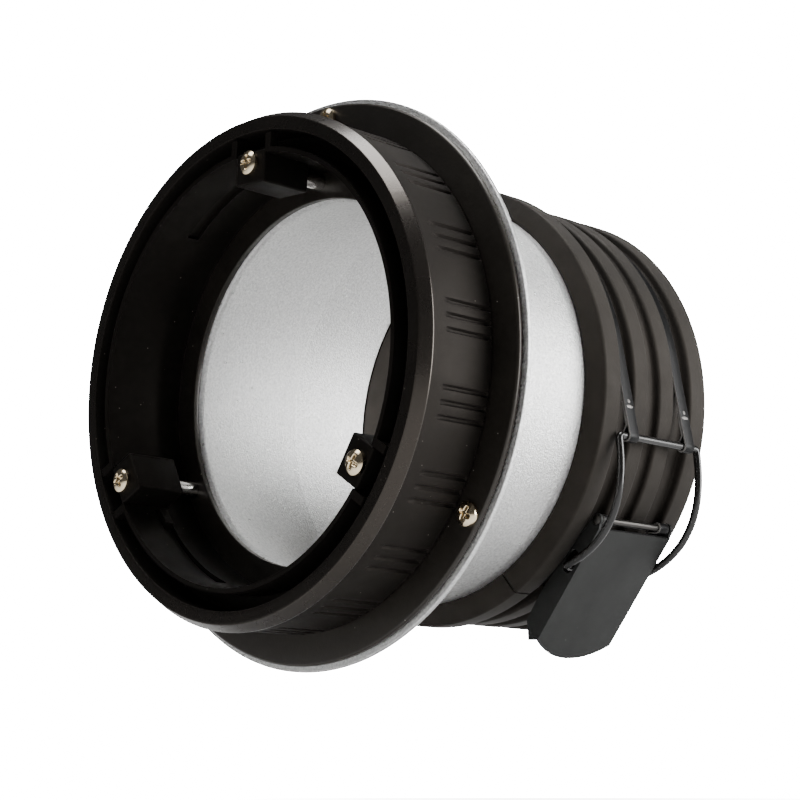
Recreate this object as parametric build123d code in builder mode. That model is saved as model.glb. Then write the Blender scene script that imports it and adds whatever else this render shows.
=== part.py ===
from build123d import *
import os
from math import atan2, acos, cos, degrees, radians, sin, hypot

# Mount adapter for studio flash heads. The tube axis is Y: the lock ring faces -Y and the flash
# head enters the collar from +Y. The origin is on the axis at the collar's rear face. Z is up.

# ---- overall stations along the axis, measured from the collar's rear face ----
overall_length = 107.5
ring_face_y = -overall_length
plate_front_y = ring_face_y + 22.6
plate_thickness = 1.6
disc_front_y = plate_front_y + plate_thickness
sheet = 1.2

# ---- lock ring ----
ring_opening_r = 57.3
ring_face_r = 60.5
ring_bevel_r = 62.1
ring_wall_r = 61.5
ring_skirt_r = 58.6
web_r = 53.16
ring_rear_y = plate_front_y - 0.4
web_front_y = ring_face_y + 9.0
web_rear_y = ring_face_y + 13.6
grip_groups = 20
grip_group_start = 3.3
grip_pitch = 3.1
grip_length = 13.4
grip_width = 0.9
grip_depth = 0.7
tab_inner_r = 50.9
tab_start = 94.0
tab_angle = 5.0
tab_height = 2.6

# ---- bayonet sleeve, lugs and their screws ----
sleeve_outer_r = 53.1
sleeve_inner_r = 52.0
slot_start = 93.0
slot_angle = 36.0
slot_height = 3.4
lug_angles = (86.2, 206.2, 326.2)
lug_width = 10.4
lug_inner_r = 44.6
lug_outer_r = 52.6
lug_face_y = ring_face_y + 0.2
lug_length = 14.0
lug_screw_r = 49.7
spacer_r = 2.1
screw_hole_r = 1.6
screw_shank_r = 1.5
screw_head_r = 2.9
screw_head_height = 1.8
ear_width = 2.0
ear_length = 2.4
ear_outer_r = 56.2

# ---- flange plate and spun tube ----
plate_r = 69.0
plate_hole_r = 45.4
disc_r = 70.4
mouth_r = 44.7
tube_inner_r = 50.5
cone_end_y = ring_face_y + 62.0
tube_end_y = ring_face_y + 87.5
flange_screw_r = 65.6
flange_screw_angles = (84.6, 204.6, 324.6)

# ---- rubber collar ----
head_r = 50.1
collar_seat_r = 51.7
front_rib_r = 57.1
rib_r = 55.7
groove_r = 53.4
collar_front_y = ring_face_y + 64.6
split_angle = -62.0
split_width = 0.5

# ---- latch ----
latch_y = ring_face_y + 86.45
strap_offset = 10.75
strap_width = 3.4
strap_thickness = 0.5
fixed_strap_r = 53.75
free_strap_r = 54.32
wire_r = 0.95
loop_gap = 0.05
arm_offset = 15.0
lever_width = 27.4
lever_sheet = 0.8
lever_angle = -38.6
lever_face = 59.7
pin_r = 0.9
hinge_n = 58.5
hinge_s = -3.4
hook_n = 57.9
hook_s = 10.6
bar_r = 58.2
bar_angle = -14.3
lap_angle = 165.0
lap_length = 30.0


def direction(angle):
    return Vector(cos(radians(angle)), 0, sin(radians(angle)))


def radial_plane(angle, radius, y):
    return Plane(origin=direction(angle) * radius + Vector(0, y, 0), x_dir=(0, 1, 0), z_dir=direction(angle))


def axial_plane(angle, radius, y):
    return Plane(origin=direction(angle) * radius + Vector(0, y, 0), x_dir=direction(angle), z_dir=(0, -1, 0))


def cross_section(y):
    return Plane.XZ.offset(-y)


# Lock ring: bevelled front, grip wall, inner web that turns on the sleeve, three lock tabs.
with BuildPart() as lock_ring:
    with BuildSketch(Plane.XY):
        with BuildLine():
            Polyline(
                (ring_opening_r, ring_face_y),
                (ring_face_r, ring_face_y),
                (ring_bevel_r, ring_face_y + 3.0),
                (ring_bevel_r, ring_face_y + 3.3),
                (ring_wall_r, ring_face_y + 3.7),
                (ring_wall_r, ring_rear_y),
                (ring_skirt_r, ring_rear_y),
                (ring_skirt_r, web_rear_y),
                (web_r, web_rear_y),
                (web_r, web_front_y),
                (ring_opening_r, web_front_y),
                close=True,
            )
        make_face()
    revolve(axis=Axis.Y)
    grip_middle_y = ring_face_y + 8.6 + grip_length / 2
    grip_angles = [
        grip_group_start + 360 / grip_groups * group + grip_pitch * line
        for group in range(grip_groups)
        for line in (-1, 0, 1)
    ]
    with Locations(*[Location(radial_plane(angle, ring_wall_r, grip_middle_y)) for angle in grip_angles]):
        Box(grip_length, grip_width, 2 * grip_depth, mode=Mode.SUBTRACT)
    for third in range(3):
        with BuildSketch(cross_section((web_front_y + web_rear_y) / 2)):
            middle = tab_start + tab_angle / 2 + 120 * third
            with BuildLine():
                inner_arc = CenterArc((0, 0), tab_inner_r, middle - tab_angle / 2, tab_angle)
                outer_arc = CenterArc((0, 0), web_r + 0.6, middle - tab_angle / 2, tab_angle)
                Line(inner_arc @ 0, outer_arc @ 0)
                Line(inner_arc @ 1, outer_arc @ 1)
            make_face()
        extrude(amount=tab_height / 2, both=True)
lock_ring.part.label = "lock_ring"

# Bayonet sleeve: thin tube notched for the lugs, with ears beside each notch and lock slots.
with BuildPart() as bayonet_sleeve:
    with BuildSketch(cross_section(ring_face_y)):
        Circle(sleeve_outer_r)
        Circle(sleeve_inner_r, mode=Mode.SUBTRACT)
    extrude(amount=-(plate_front_y - ring_face_y))
    for angle in lug_angles:
        for side in (-1, 1):
            ear_offset = side * (lug_width / 2 + 0.1 + ear_width / 2)
            ear_middle = (sleeve_inner_r + 0.4 + ear_outer_r) / 2
            with Locations(Location(axial_plane(angle, 0, ring_face_y + ear_length / 2))):
                with Locations((ear_middle, ear_offset, 0)):
                    Box(ear_outer_r - sleeve_inner_r - 0.4, ear_width, ear_length)
    for angle in lug_angles:
        with Locations(Location(axial_plane(angle, 52.0, lug_face_y + lug_length / 2 - 0.5))):
            Box(12, lug_width + 0.2, lug_length + 1.0, mode=Mode.SUBTRACT)
    for third in range(3):
        with BuildSketch(cross_section((web_front_y + web_rear_y) / 2)):
            start = slot_start + 120 * third
            with BuildLine():
                near_arc = CenterArc((0, 0), sleeve_inner_r - 1, start, slot_angle)
                far_arc = CenterArc((0, 0), sleeve_outer_r + 1, start, slot_angle)
                Line(near_arc @ 0, far_arc @ 0)
                Line(near_arc @ 1, far_arc @ 1)
            make_face()
        extrude(amount=slot_height / 2, both=True, mode=Mode.SUBTRACT)
bayonet_sleeve.part.label = "bayonet_sleeve"


# Bayonet lugs: square blocks standing in the sleeve's notches, each with a screw hole.
lug_names = ("lug_top", "lug_left", "lug_right")
lugs = []
for name, angle in zip(lug_names, lug_angles):
    with BuildPart() as lug:
        with Locations(Location(axial_plane(angle, (lug_inner_r + lug_outer_r) / 2, lug_face_y + lug_length / 2))):
            Box(lug_outer_r - lug_inner_r, lug_width, lug_length)
        chamfer(lug.edges().group_by(Axis.Y)[0], length=0.5)
        with Locations(Location(axial_plane(angle, lug_screw_r, lug_face_y + lug_length / 2))):
            Cylinder(screw_hole_r, lug_length + 2, mode=Mode.SUBTRACT)
    lug.part.label = name
    lugs.append(lug.part)

# Spacers: short metal tubes between each lug and the flange plate.
spacer_names = ("spacer_top", "spacer_left", "spacer_right")
spacer_front_y = lug_face_y + lug_length
spacer_length = plate_front_y - spacer_front_y
spacers = []
for name, angle in zip(spacer_names, lug_angles):
    with BuildPart() as spacer:
        with Locations(Location(axial_plane(angle, lug_screw_r, spacer_front_y + spacer_length / 2))):
            Cylinder(spacer_r, spacer_length)
            Cylinder(screw_hole_r, spacer_length + 2, mode=Mode.SUBTRACT)
    spacer.part.label = name
    spacers.append(spacer.part)

# Lug screws: pan heads on the lugs' front faces, threaded through plate and disc.
lug_screw_length = disc_front_y + sheet + 0.8 - lug_face_y
with BuildPart() as lug_screws:
    with Locations(*[Location(axial_plane(angle, lug_screw_r, lug_face_y)) for angle in lug_angles]):
        Cylinder(screw_shank_r, lug_screw_length, align=(Align.CENTER, Align.CENTER, Align.MAX))
        Cylinder(screw_head_r, screw_head_height, align=(Align.CENTER, Align.CENTER, Align.MIN))
    fillet(lug_screws.edges().filter_by(GeomType.CIRCLE).group_by(Axis.Y)[0], radius=0.9)
    with Locations(*[Location(axial_plane(angle, lug_screw_r, lug_face_y - 1.4)) for angle in lug_angles]):
        Box(3.2, 0.7, 1.2, mode=Mode.SUBTRACT)
        Box(0.7, 3.2, 1.2, mode=Mode.SUBTRACT)
lug_screws.part.label = "lug_screws"

# Flange plate: flat black disc with a rounded rim, screwed to the spun tube's own disc.
with BuildPart() as flange_plate:
    with BuildSketch(cross_section(plate_front_y)):
        Circle(plate_r)
        Circle(plate_hole_r, mode=Mode.SUBTRACT)
    extrude(amount=-plate_thickness)
    fillet(flange_plate.edges().filter_by(GeomType.CIRCLE).sort_by(SortBy.RADIUS)[-2:], radius=0.6)
    with Locations(*[Location(axial_plane(angle, lug_screw_r, plate_front_y)) for angle in lug_angles]):
        Cylinder(screw_shank_r + 0.02, 6, mode=Mode.SUBTRACT)
    with Locations(
        *[Location(axial_plane(angle, flange_screw_r, plate_front_y)) for angle in flange_screw_angles]
    ):
        Cylinder(screw_shank_r + 0.02, 6, mode=Mode.SUBTRACT)
flange_plate.part.label = "flange_plate"

# Flange screws: pan heads near the root of the lock ring.
flange_screw_length = plate_thickness + sheet + 0.6
with BuildPart() as flange_screws:
    with Locations(
        *[Location(axial_plane(angle, flange_screw_r, plate_front_y)) for angle in flange_screw_angles]
    ):
        Cylinder(screw_shank_r, flange_screw_length, align=(Align.CENTER, Align.CENTER, Align.MAX))
        Cylinder(screw_head_r - 0.1, screw_head_height, align=(Align.CENTER, Align.CENTER, Align.MIN))
    fillet(flange_screws.edges().filter_by(GeomType.CIRCLE).group_by(Axis.Y)[0], radius=0.9)
    with Locations(
        *[Location(axial_plane(angle, flange_screw_r, plate_front_y - 1.4)) for angle in flange_screw_angles]
    ):
        Box(3.2, 0.7, 1.2, mode=Mode.SUBTRACT)
        Box(0.7, 3.2, 1.2, mode=Mode.SUBTRACT)
flange_screws.part.label = "flange_screws"

# Spun tube: one sheet of aluminium, turned from a flat disc into a tube that widens rearwards.
with BuildPart() as spun_tube:
    with BuildSketch(Plane.XY):
        with BuildLine():
            Polyline(
                (disc_r, disc_front_y),
                (mouth_r, disc_front_y),
                (tube_inner_r, cone_end_y),
                (tube_inner_r, tube_end_y),
                (tube_inner_r + sheet, tube_end_y),
                (tube_inner_r + sheet, cone_end_y),
                (mouth_r + sheet + 0.2, disc_front_y + sheet),
                (disc_r, disc_front_y + sheet),
                close=True,
            )
        make_face()
    revolve(axis=Axis.Y)
    mouth_edges = spun_tube.edges().filter_by(GeomType.CIRCLE)
    fillet([e for e in mouth_edges if abs(e.radius - mouth_r) < 0.01], radius=1.8)
    with Locations(*[Location(axial_plane(angle, lug_screw_r, disc_front_y)) for angle in lug_angles]):
        Cylinder(screw_shank_r + 0.02, 6, mode=Mode.SUBTRACT)
    with Locations(
        *[Location(axial_plane(angle, flange_screw_r, disc_front_y)) for angle in flange_screw_angles]
    ):
        Cylinder(screw_shank_r + 0.02, 6, mode=Mode.SUBTRACT)
spun_tube.part.label = "spun_tube"

# Rubber collar: four ribs and three grooves round a bore that grips the flash head.
with BuildPart() as rubber_collar:
    with BuildSketch(Plane.XY):
        with BuildLine():
            Polyline(
                (collar_seat_r, collar_front_y),
                (collar_seat_r + 0.6, collar_front_y),
                (front_rib_r, collar_front_y + 1.7),
                (front_rib_r, ring_face_y + 72.3),
                (groove_r, ring_face_y + 72.3),
                (groove_r, ring_face_y + 78.6),
                (rib_r, ring_face_y + 78.6),
                (rib_r, ring_face_y + 84.5),
                (groove_r + 0.5, ring_face_y + 84.5),
                (groove_r + 0.5, ring_face_y + 88.4),
                (rib_r, ring_face_y + 88.4),
                (rib_r, ring_face_y + 94.4),
                (groove_r, ring_face_y + 94.4),
                (groove_r, ring_face_y + 100.6),
                (rib_r, ring_face_y + 100.6),
                (rib_r, -0.9),
                (rib_r - 0.9, 0),
                (head_r, 0),
                (head_r, tube_end_y),
                (collar_seat_r, tube_end_y),
                close=True,
            )
        make_face()
    revolve(axis=Axis.Y)
    with Locations(Location(axial_plane(split_angle, 54, -20))):
        Box(12, split_width, 60, mode=Mode.SUBTRACT)
rubber_collar.part.label = "rubber_collar"

# ---- latch geometry in the plane square to the axis ----
face_out = direction(lever_angle)
face_down = Vector(face_out.Z, 0, -face_out.X)
hinge = face_out * hinge_n + face_down * hinge_s
hook = face_out * hook_n + face_down * hook_s
bar = direction(bar_angle) * bar_r
loop_r = strap_thickness / 2 + pin_r + loop_gap
bar_loop_r = strap_thickness / 2 + wire_r + loop_gap


# A strap leaves its circle on a tangent that also touches the loop at its end. The straight
# length meets the loop on its outer side (1) or its inner side (-1).
def tangent_angle(centre, band_r, end_loop_r, loop_side, turn):
    reach = hypot(centre.X, centre.Z)
    swing = degrees(acos((band_r - loop_side * end_loop_r) / reach))
    return degrees(atan2(centre.Z, centre.X)) + turn * swing


hinge_tangent = tangent_angle(hinge, fixed_strap_r, loop_r, -1, -1)
bar_tangent = tangent_angle(bar, free_strap_r, bar_loop_r, 1, 1)


# The end is folded back round the loop and welded against the straight length.
def strap_part(y, centre, end_loop_r, loop_side, band_r, leave_angle, far_angle, tail):
    leave = direction(leave_angle)
    band_end = leave * band_r
    loop_end = centre + leave * (loop_side * end_loop_r)
    along = (band_end - loop_end).normalized()
    fold = loop_end - leave * (loop_side * strap_thickness) + along * 2.4
    with BuildPart() as strap:
        with BuildSketch(cross_section(y)):
            with BuildLine():
                low = min(leave_angle, far_angle)
                inner_band = CenterArc((0, 0), band_r - strap_thickness / 2, low, abs(far_angle - leave_angle))
                outer_band = CenterArc((0, 0), band_r + strap_thickness / 2, low, abs(far_angle - leave_angle))
                Line(inner_band @ 0, outer_band @ 0)
                Line(inner_band @ 1, outer_band @ 1)
            make_face()
            with BuildLine():
                half = leave * (strap_thickness / 2)
                corners = [band_end - half, band_end + half, loop_end + half, loop_end - half]
                Polyline(*[(c.X, c.Z) for c in corners], close=True)
            make_face()
            with BuildLine():
                tail_end = fold + along * tail
                corners = [fold - half, fold + half, tail_end + half, tail_end - half]
                Polyline(*[(c.X, c.Z) for c in corners], close=True)
            make_face()
            with Locations((centre.X, centre.Z)):
                Circle(end_loop_r + strap_thickness / 2)
                Circle(end_loop_r - strap_thickness / 2, mode=Mode.SUBTRACT)
        extrude(amount=strap_width / 2, both=True)
    return strap.part


# Clamp straps: each is made in two lengths that lap on the far side of the collar.
strap_ys = {"front": latch_y - strap_offset, "rear": latch_y + strap_offset}
fixed_straps = {}
free_straps = {}
for place, y in strap_ys.items():
    fixed_straps[place] = strap_part(
        y, hinge, loop_r, -1, fixed_strap_r, hinge_tangent, lap_angle - 360, 4.0
    )
    fixed_straps[place].label = "strap_" + place + "_fixed"
    free_straps[place] = strap_part(
        y, bar, bar_loop_r, 1, free_strap_r, bar_tangent, lap_angle + lap_length, 6.0
    )
    free_straps[place].label = "strap_" + place + "_free"

# Latch lever: a folded channel whose flanges carry the hinge pin and the bail's hooked ends.
lever_frame = Plane(origin=(0, latch_y, 0), x_dir=face_out, z_dir=(0, -1, 0))
with BuildPart() as latch_lever:
    for side in (-1, 1):
        flange_y = side * (lever_width - lever_sheet) / 2
        with BuildSketch(lever_frame.offset(flange_y)):
            with BuildLine():
                Polyline(
                    (lever_face + lever_sheet, 1.9),
                    (lever_face + lever_sheet, -30.6),
                    (58.0, -32.4),
                    (54.6, -28.6),
                    (54.3, -21.0),
                    (55.0, -13.0),
                    (55.0, -6.5),
                    (57.0, 0.5),
                    (57.0, -hinge_s),
                    (59.8, -hinge_s),
                    close=True,
                )
            make_face()
            with Locations((hinge_n, -hinge_s)):
                Circle(1.5)
                Circle(pin_r + 0.02, mode=Mode.SUBTRACT)
            with Locations((hook_n - 0.15, -hook_s + 1.4)):
                SlotCenterToCenter(2.8, 3.4, rotation=90, mode=Mode.SUBTRACT)
        extrude(amount=lever_sheet / 2, both=True)
    face_plane = Plane(origin=face_out * lever_face + Vector(0, latch_y, 0), x_dir=(0, 1, 0), z_dir=face_out)
    with BuildSketch(face_plane):
        with BuildLine():
            top = Line((-lever_width / 2, 1.9), (lever_width / 2, 1.9))
            right = Line(top @ 1, (lever_width / 2, -30.6))
            tip = ThreePointArc(right @ 1, (0, -35.4), (-lever_width / 2, -30.6))
            Line(tip @ 1, top @ 0)
        make_face()
    extrude(amount=lever_sheet)
latch_lever.part.label = "latch_lever"

# Lever pin: carries both straps' ends, with a rivet head outside each flange.
with BuildPart() as lever_pin:
    with Locations(Location(axial_plane(0, 0, latch_y)) * Location((hinge.X, hinge.Z, 0))):
        Cylinder(pin_r, lever_width + 0.8)
    for side in (-1, 1):
        head_y = latch_y + side * (lever_width / 2 + 0.25)
        with Locations(Location(axial_plane(0, 0, head_y)) * Location((hinge.X, hinge.Z, 0))):
            Cylinder(1.3, 0.5)
lever_pin.part.label = "lever_pin"

# Bail: one round wire, with a cross bar through the straps' loops and two bowed arms.
with BuildPart() as bail_wire:
    bar_plane = cross_section(latch_y)
    with BuildSketch(bar_plane):
        with Locations((bar.X, bar.Z)):
            Circle(wire_r)
    extrude(amount=arm_offset, both=True)
    for side in (-1, 1):
        arm_frame = Plane(
            origin=(0, latch_y + side * arm_offset, 0), x_dir=face_out, z_dir=(0, -1, 0)
        )
        bar_n = bar.dot(face_out)
        bar_s = bar.dot(face_down)
        with BuildLine(arm_frame) as arm:
            ThreePointArc((bar_n, -bar_s), (63.2, 6.8), (hook_n, -hook_s))
        with BuildSketch(Plane(origin=arm.line @ 0, z_dir=arm.line % 0)):
            Circle(wire_r)
        sweep(path=arm.line)
        with Locations(Location(bar + Vector(0, latch_y + side * arm_offset, 0))):
            Sphere(wire_r)
        with Locations(Location(hook + Vector(0, latch_y + side * arm_offset, 0))):
            Sphere(wire_r)
        hook_y = latch_y + side * (arm_offset - 1.5)
        with Locations(Location(axial_plane(0, 0, hook_y)) * Location((hook.X, hook.Z, 0))):
            Cylinder(wire_r, 3.0)
bail_wire.part.label = "bail_wire"

os.makedirs("parts", exist_ok=True)
export_step(lock_ring.part, "parts/lock_ring.step")
export_step(bayonet_sleeve.part, "parts/bayonet_sleeve.step")
for name, solid in zip(lug_names, lugs):
    export_step(solid, "parts/" + name + ".step")
for name, solid in zip(spacer_names, spacers):
    export_step(solid, "parts/" + name + ".step")
export_step(lug_screws.part, "parts/lug_screws.step")
export_step(flange_plate.part, "parts/flange_plate.step")
export_step(flange_screws.part, "parts/flange_screws.step")
export_step(spun_tube.part, "parts/spun_tube.step")
export_step(rubber_collar.part, "parts/rubber_collar.step")
export_step(fixed_straps["front"], "parts/strap_front_fixed.step")
export_step(fixed_straps["rear"], "parts/strap_rear_fixed.step")
export_step(free_straps["front"], "parts/strap_front_free.step")
export_step(free_straps["rear"], "parts/strap_rear_free.step")
export_step(latch_lever.part, "parts/latch_lever.step")
export_step(lever_pin.part, "parts/lever_pin.step")
export_step(bail_wire.part, "parts/bail_wire.step")
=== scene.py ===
import math

import bpy
import numpy as np
from bpy.props import FloatProperty, FloatVectorProperty, IntProperty, PointerProperty
from bpy.types import Operator, Panel, PropertyGroup
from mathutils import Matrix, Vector


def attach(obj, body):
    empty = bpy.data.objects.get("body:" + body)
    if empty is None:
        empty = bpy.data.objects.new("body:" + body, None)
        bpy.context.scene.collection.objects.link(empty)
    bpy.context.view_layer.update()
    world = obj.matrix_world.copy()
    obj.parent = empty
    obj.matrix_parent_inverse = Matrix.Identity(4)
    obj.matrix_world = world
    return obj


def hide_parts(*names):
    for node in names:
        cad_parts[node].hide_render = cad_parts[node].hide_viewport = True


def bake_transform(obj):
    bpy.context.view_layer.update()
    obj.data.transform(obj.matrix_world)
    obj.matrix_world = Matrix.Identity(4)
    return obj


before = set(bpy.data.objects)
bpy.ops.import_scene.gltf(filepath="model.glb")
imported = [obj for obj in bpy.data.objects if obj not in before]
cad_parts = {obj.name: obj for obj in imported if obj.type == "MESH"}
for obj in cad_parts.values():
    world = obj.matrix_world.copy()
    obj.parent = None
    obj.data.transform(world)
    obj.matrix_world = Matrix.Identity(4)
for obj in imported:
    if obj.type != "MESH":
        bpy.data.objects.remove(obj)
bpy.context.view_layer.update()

bl_info = {
    "name": "Studio Flash Mount Adapter",
    "version": (1, 0, 0),
    "blender": (4, 5, 0),
    "location": "3D View > Sidebar > Adapter",
    "description": "Builds a clamp-on flash mount adapter around its packed frame",
    "category": "Add Mesh",
}

# Lengths are millimetres and angles degrees unless a comment says otherwise. The tube's axis is Y,
# and the collar ends at y = 0.
MM = 0.001
RING_FACE_Y = -107.5
LUG_FACE_Y = RING_FACE_Y + 0.2
PLATE_FRONT_Y = RING_FACE_Y + 22.6
DISC_FRONT_Y = PLATE_FRONT_Y + 1.6
TUBE_END_Y = RING_FACE_Y + 87.5
LATCH_Y = RING_FACE_Y + 86.45
LUG_ANGLES = (86.2, 206.2, 326.2)
FLANGE_SCREW_ANGLES = (84.6, 204.6, 324.6)
LUG_SCREW_R = 49.7
FLANGE_SCREW_R = 65.6
TUBE_R = 51.7
PIN_R = 0.9
WIRE_R = 0.95
STRAP_SHEET = 0.5

# The latch's own directions: face_out leaves the collar through the lever, face_down runs along it.
LEVER_ANGLE = math.radians(-38.6)
FACE_OUT = np.array([math.cos(LEVER_ANGLE), math.sin(LEVER_ANGLE)])
FACE_DOWN = np.array([math.sin(LEVER_ANGLE), -math.cos(LEVER_ANGLE)])


def latch_point(out, down):
    """(x, z) of a point that is out millimetres along face_out and down along face_down."""
    return out * FACE_OUT + down * FACE_DOWN


# Where the lever's pin, the bail's hooked ends and the bail's bar stand, as (x, z).
HINGE = latch_point(58.5, -3.4)
HOOK = latch_point(57.9, 10.6)
BAR_ANGLE = math.radians(-14.3)
BAR = 58.2 * np.array([math.cos(BAR_ANGLE), math.sin(BAR_ANGLE)])


# ---------------------------------------------------------------- surfaces


def wrapped(angle):
    """An angle in radians brought to within half a turn of nought."""
    return (angle + np.pi) % (2 * np.pi) - np.pi


def window(distance, half_width, softness):
    """One inside a half width and nought outside it, as 1 / (1 + e^((distance - half) / softness))."""
    return 1 / (1 + np.exp((distance - half_width) / softness))


def rounded(corners, steps=6):
    """A closed outline from rows of (a, b, radius). Each corner is an arc of its radius: the arc runs
    between the two points where a circle of that radius touches both sides, and is sampled by turning
    the first touch direction into the second at an even rate."""
    rows = np.array(corners, float)
    here, radius = rows[:, :2], rows[:, 2]
    to_before = np.roll(here, 1, 0) - here
    to_after = np.roll(here, -1, 0) - here
    before = to_before / np.linalg.norm(to_before, axis=1, keepdims=True)
    after = to_after / np.linalg.norm(to_after, axis=1, keepdims=True)
    half = np.arccos(np.clip((before * after).sum(1), -0.999999, 0.999999)) / 2
    reach = radius / np.tan(half)
    middle = (before + after) / np.linalg.norm(before + after, axis=1, keepdims=True)
    centre = here + middle * (radius / np.sin(half))[:, None]
    first = here + before * reach[:, None] - centre
    last = here + after * reach[:, None] - centre
    start = np.arctan2(first[:, 1], first[:, 0])
    sweep = wrapped(np.arctan2(last[:, 1], last[:, 0]) - start)
    turn = start[:, None] + sweep[:, None] * np.linspace(0, 1, steps)[None, :]
    arcs = centre[:, None, :] + radius[:, None, None] * np.stack([np.cos(turn), np.sin(turn)], -1)
    return arcs.reshape(-1, 2)


def grid_faces(rows, columns, capped):
    """Quads over a grid of rows by columns points. Each row is a loop, and unless the grid is capped,
    the last row joins the first."""
    r, c = np.meshgrid(np.arange(rows - 1 if capped else rows), np.arange(columns), indexing="ij")
    r_next, c_next = (r + 1) % rows, (c + 1) % columns
    quads = [r * columns + c, r * columns + c_next, r_next * columns + c_next, r_next * columns + c]
    return np.stack(quads, -1).reshape(-1, 4)


def shell(grid, capped=False):
    """Points and faces of a closed grid surface. Its last row joins its first or, where it is capped,
    each of the two gets one flat face. Six times the volume inside is the sum of p0 . (p1 x p2) over
    the faces' triangles, and where it is negative every face is turned round."""
    rows, columns = grid.shape[:2]
    points = grid.reshape(-1, 3)
    quads = grid_faces(rows, columns, capped)
    first, second, third, fourth = (points[quads[:, i]] for i in range(4))
    volume = (first * np.cross(second, third)).sum() + (first * np.cross(third, fourth)).sum()
    faces = quads.tolist()
    if capped:
        end = (rows - 1) * columns
        for cap in (np.arange(columns)[::-1], end + np.arange(columns)):
            corner = points[cap]
            volume += (corner[0] * np.cross(corner[1:-1], corner[2:])).sum()
            faces.append(cap.tolist())
    if volume < 0:
        faces = [face[::-1] for face in faces]
    return points, faces


def make_piece(name, shells, smooth_angle=35.0):
    """One mesh object from closed shells given in millimetres, at the origin, smooth except at edges
    sharper than smooth_angle degrees."""
    points, faces, count = [], [], 0
    for shell_points, shell_faces in shells:
        points.append(shell_points)
        faces += [[corner + count for corner in face] for face in shell_faces]
        count += len(shell_points)
    mesh = bpy.data.meshes.new(name)
    mesh.from_pydata((np.vstack(points) * MM).tolist(), [], faces)
    mesh.update()
    mesh.shade_smooth()
    mesh.set_sharp_from_angle(angle=math.radians(smooth_angle))
    piece = bpy.data.objects.new(name, mesh)
    bpy.context.scene.collection.objects.link(piece)
    return piece


def revolved(outline, angles):
    """The closed outline of (radius, station) turned about the tube axis: point (r, y) at angle t is
    (r cos t, y, r sin t)."""
    r, y = outline[None, :, 0], outline[None, :, 1]
    t = angles[:, None]
    return np.stack([r * np.cos(t), y + 0 * t, r * np.sin(t)], -1)


def full_turn(count):
    """Evenly spaced angles of one turn, in radians, without its end."""
    return np.arange(count) * (2 * np.pi / count)


def at_angle(made, angle, radius, y):
    """A shell made about the Z axis, turned so that its +Z is -Y and moved to an angle and radius."""
    points, faces = made
    c, s = math.cos(math.radians(angle)), math.sin(math.radians(angle))
    x, side, height = points[:, 0], points[:, 1], points[:, 2]
    moved = np.stack([(radius + x) * c - side * s, y - height, (radius + x) * s + side * c], -1)
    return moved, faces


def pan_screw(head_r, head_height, shank_r, length):
    """A pan-head screw with a cross recess about +Z. The head is z = h (1 - f q^3) for q = r / R,
    where f is its fall at the rim, less the recess's depth along two soft-edged bars. Rows run out
    from a small flat at the pole, down the head's side and along the shank."""
    t = full_turn(128)
    q = np.linspace(0.02, 1, 34) ** 0.9
    r = head_r * q[:, None]
    x, y = r * np.cos(t), r * np.sin(t)
    fall = 0.45
    bar_half_width, bar_half_length, bar_depth = 0.36, 1.65, 0.9
    near, far = np.minimum(abs(x), abs(y)), np.maximum(abs(x), abs(y))
    bar = window(near, bar_half_width, 0.07) * window(far, bar_half_length, 0.09)
    top = head_height * (1 - fall * q[:, None] ** 3) - bar_depth * bar
    head = np.stack([x, y, top], -1)
    side_r, chamfer = head_r + 0.04, 0.3
    lower = np.array([[side_r, head_height * 0.42], [side_r, 0.1], [side_r - 0.1, 0.0],
                      [shank_r, 0.0], [shank_r, chamfer - length], [shank_r - chamfer, -length]])
    sides = np.stack([lower[:, :1] * np.cos(t), lower[:, :1] * np.sin(t), lower[:, 1:] + 0 * t], -1)
    return shell(np.concatenate([head, sides]), capped=True)


def block(width, depth, length, radius):
    """A block with rounded edges, from z = 0 down to -length. Its outline is drawn in by
    radius (1 - sin p) at depth radius (1 - cos p) for p from 0 to a right angle, at both ends."""
    p = np.linspace(0, np.pi / 2, 6)
    inset, drop = radius * (1 - np.sin(p)), radius * (1 - np.cos(p))
    inset, height = np.append(inset, inset[::-1]), np.append(-drop, drop[::-1] - length)
    rows = []
    for pull, z in zip(inset, height):
        x, y, corner = width / 2 - pull, depth / 2 - pull, max(radius - pull, 0.01)
        outline = rounded([(x, y, corner), (-x, y, corner), (-x, -y, corner), (x, -y, corner)])
        rows.append(np.column_stack([outline, np.full(len(outline), z)]))
    return shell(np.stack(rows), capped=True)


def carried(outline, path, side, normal):
    """An outline of (across, up) carried along a path: each path point plus across times side plus up
    times the path's normal there."""
    a, b = outline[None, :, 0:1], outline[None, :, 1:2]
    return path[:, None, :] + a * side[:, None, :] + b * normal[:, None, :]


def tangents(path):
    """The path's direction at each point: half the step between its neighbours, made one long."""
    along = np.gradient(path, axis=0)
    return along / np.linalg.norm(along, axis=1, keepdims=True)


def wire(path, radius, fixed, count=20):
    """A round wire along a path. The section's first direction is the fixed one made square to the
    path, which never runs along it, and the second is square to both."""
    tangent = tangents(path)
    side = fixed - (tangent @ fixed)[:, None] * tangent
    side /= np.linalg.norm(side, axis=1, keepdims=True)
    t = full_turn(count)
    circle = radius * np.stack([np.cos(t), np.sin(t)], -1)
    return shell(carried(circle, path, side, np.cross(tangent, side)), capped=True)


def evened(path, spacing):
    """The path sampled again at an even spacing along its length."""
    length = np.append(0, np.cumsum(np.linalg.norm(np.diff(path, axis=0), axis=1)))
    at = np.linspace(0, length[-1], max(2, int(length[-1] / spacing) + 1))
    return np.stack([np.interp(at, length, path[:, i]) for i in range(path.shape[1])], -1)


def softened(path, passes):
    """Eases a path's corners: each pass makes every inner point a quarter of both neighbours plus half
    of itself."""
    path = path.copy()
    for _ in range(passes):
        path[1:-1] = (path[:-2] + 2 * path[1:-1] + path[2:]) / 4
    return path


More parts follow.
